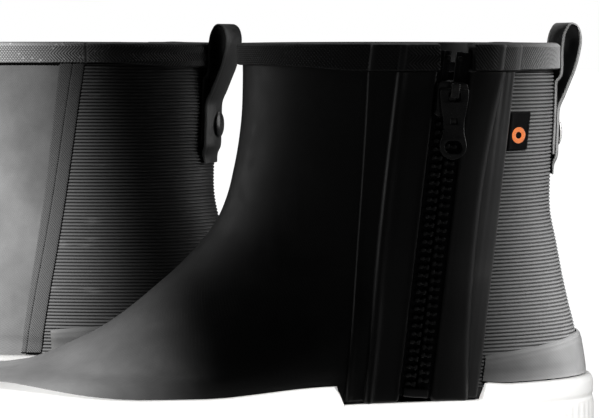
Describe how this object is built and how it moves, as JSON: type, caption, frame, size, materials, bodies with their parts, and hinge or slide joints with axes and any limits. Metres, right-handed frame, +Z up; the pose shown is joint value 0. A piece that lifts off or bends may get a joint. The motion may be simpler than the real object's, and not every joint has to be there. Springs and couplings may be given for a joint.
{
  "type": "pair of ankle rain boots",
  "caption": "Pair of short waterproof rubber boots with a side zip, ribbed rear panel, knurled collar band and rear pull loop, for yard and rain wear.",
  "frame": {"origin": "on the floor under the ankle of the right boot, on the flat of its sole", "axes": "+Z up, the right boot's toe along -X, its heel along +X, its zip side along -Y; the left boot stands behind it (+Y), turned 23.5 degrees"},
  "size_m": [0.3503, 0.2693, 0.1693],
  "materials": {
    "smooth_rubber": "satin, with a very fine cloth imprint",
    "ribbed_rubber": "satin, horizontally ribbed",
    "facing_rubber": "satin, smooth rounded",
    "binding_rubber": "matt, knurled",
    "sole_rubber": "matt off-white moulded",
    "twill_tape": "rubberised twill",
    "strap_rubber": "satin",
    "rivet_metal": "black enamel",
    "slider_metal": "gloss black enamel",
    "zip_plastic": "satin moulded",
    "zip_tape": "woven tape",
    "gusset_fabric": "coated textile",
    "lining_fabric": "brushed knit",
    "footbed_fabric": "knit over foam",
    "insole_board": "fibre board",
    "stiffener": "matt",
    "spring_steel": "brushed",
    "woven_label": "woven, orange bar"
  },
  "bodies": {
    "right_boot": {"right_outsole": "sole_rubber", "right_cupsole": "sole_rubber", "right_shank": "spring_steel", "right_insole_board": "insole_board", "right_footbed": "footbed_fabric", "right_lining": "lining_fabric", "right_vamp_shell": "smooth_rubber", "right_rear_panel": "ribbed_rubber", "right_heel_counter": "smooth_rubber", "right_toe_puff": "stiffener", "right_heel_stiffener": "stiffener", "right_front_base_strip": "smooth_rubber", "right_rear_base_strip": "smooth_rubber", "right_front_facing": "facing_rubber", "right_rear_facing": "facing_rubber", "right_zip_gusset": "gusset_fabric", "right_zip_tape_front": "zip_tape", "right_zip_tape_rear": "zip_tape", "right_zip_teeth_front": "zip_plastic", "right_zip_teeth_rear": "zip_plastic", "right_zip_stops": "zip_plastic", "right_collar_binding": "binding_rubber", "right_seam_tape_front": "twill_tape", "right_seam_tape_rear": "twill_tape", "right_pull_loop": "strap_rubber", "right_loop_rivet": "rivet_metal", "right_rivet_backing": "rivet_metal", "right_label_tag": "woven_label"},
    "right_slider": {"right_zip_slider": "slider_metal"},
    "right_puller": {"right_zip_puller": "slider_metal"},
    "left_boot": {"left_outsole": "sole_rubber", "left_cupsole": "sole_rubber", "left_shank": "spring_steel", "left_insole_board": "insole_board", "left_footbed": "footbed_fabric", "left_lining": "lining_fabric", "left_vamp_shell": "smooth_rubber", "left_rear_panel": "ribbed_rubber", "left_heel_counter": "smooth_rubber", "left_toe_puff": "stiffener", "left_heel_stiffener": "stiffener", "left_front_base_strip": "smooth_rubber", "left_rear_base_strip": "smooth_rubber", "left_front_facing": "facing_rubber", "left_rear_facing": "facing_rubber", "left_zip_gusset": "gusset_fabric", "left_zip_tape_front": "zip_tape", "left_zip_tape_rear": "zip_tape", "left_zip_teeth_front": "zip_plastic", "left_zip_teeth_rear": "zip_plastic", "left_zip_stops": "zip_plastic", "left_collar_binding": "binding_rubber", "left_seam_tape_front": "twill_tape", "left_seam_tape_rear": "twill_tape", "left_pull_loop": "strap_rubber", "left_loop_rivet": "rivet_metal", "left_rivet_backing": "rivet_metal", "left_label_tag": "woven_label"},
    "left_slider": {"left_zip_slider": "slider_metal"},
    "left_puller": {"left_zip_puller": "slider_metal"}
  },
  "joints": [
    {"name": "right_zip_slide", "type": "slide", "parent": "right_boot", "child": "right_slider", "axis": [-0.1054, 0.0514, -0.9931], "range_m": [0, 0.084]},
    {"name": "right_puller_hinge", "type": "hinge", "parent": "right_slider", "child": "right_puller", "pos_m": [0.01426, -0.0483, 0.14529], "axis": [-0.9969, -0.0754, 0.0229], "range_deg": [0, 165]},
    {"name": "left_boot_move", "type": "slide", "parent": "right_boot", "child": "left_boot", "axis": [0.3987, 0.9171, 0], "range_m": [0, 0.15]},
    {"name": "left_zip_slide", "type": "slide", "parent": "left_boot", "child": "left_slider", "axis": [-0.1172, -0.0051, -0.9931], "range_m": [0, 0.084]},
    {"name": "left_puller_hinge", "type": "hinge", "parent": "left_slider", "child": "left_puller", "pos_m": [-0.07617, 0.16511, 0.14529], "axis": [0.8842, -0.4666, -0.0229], "range_deg": [0, 165]}
  ]
}
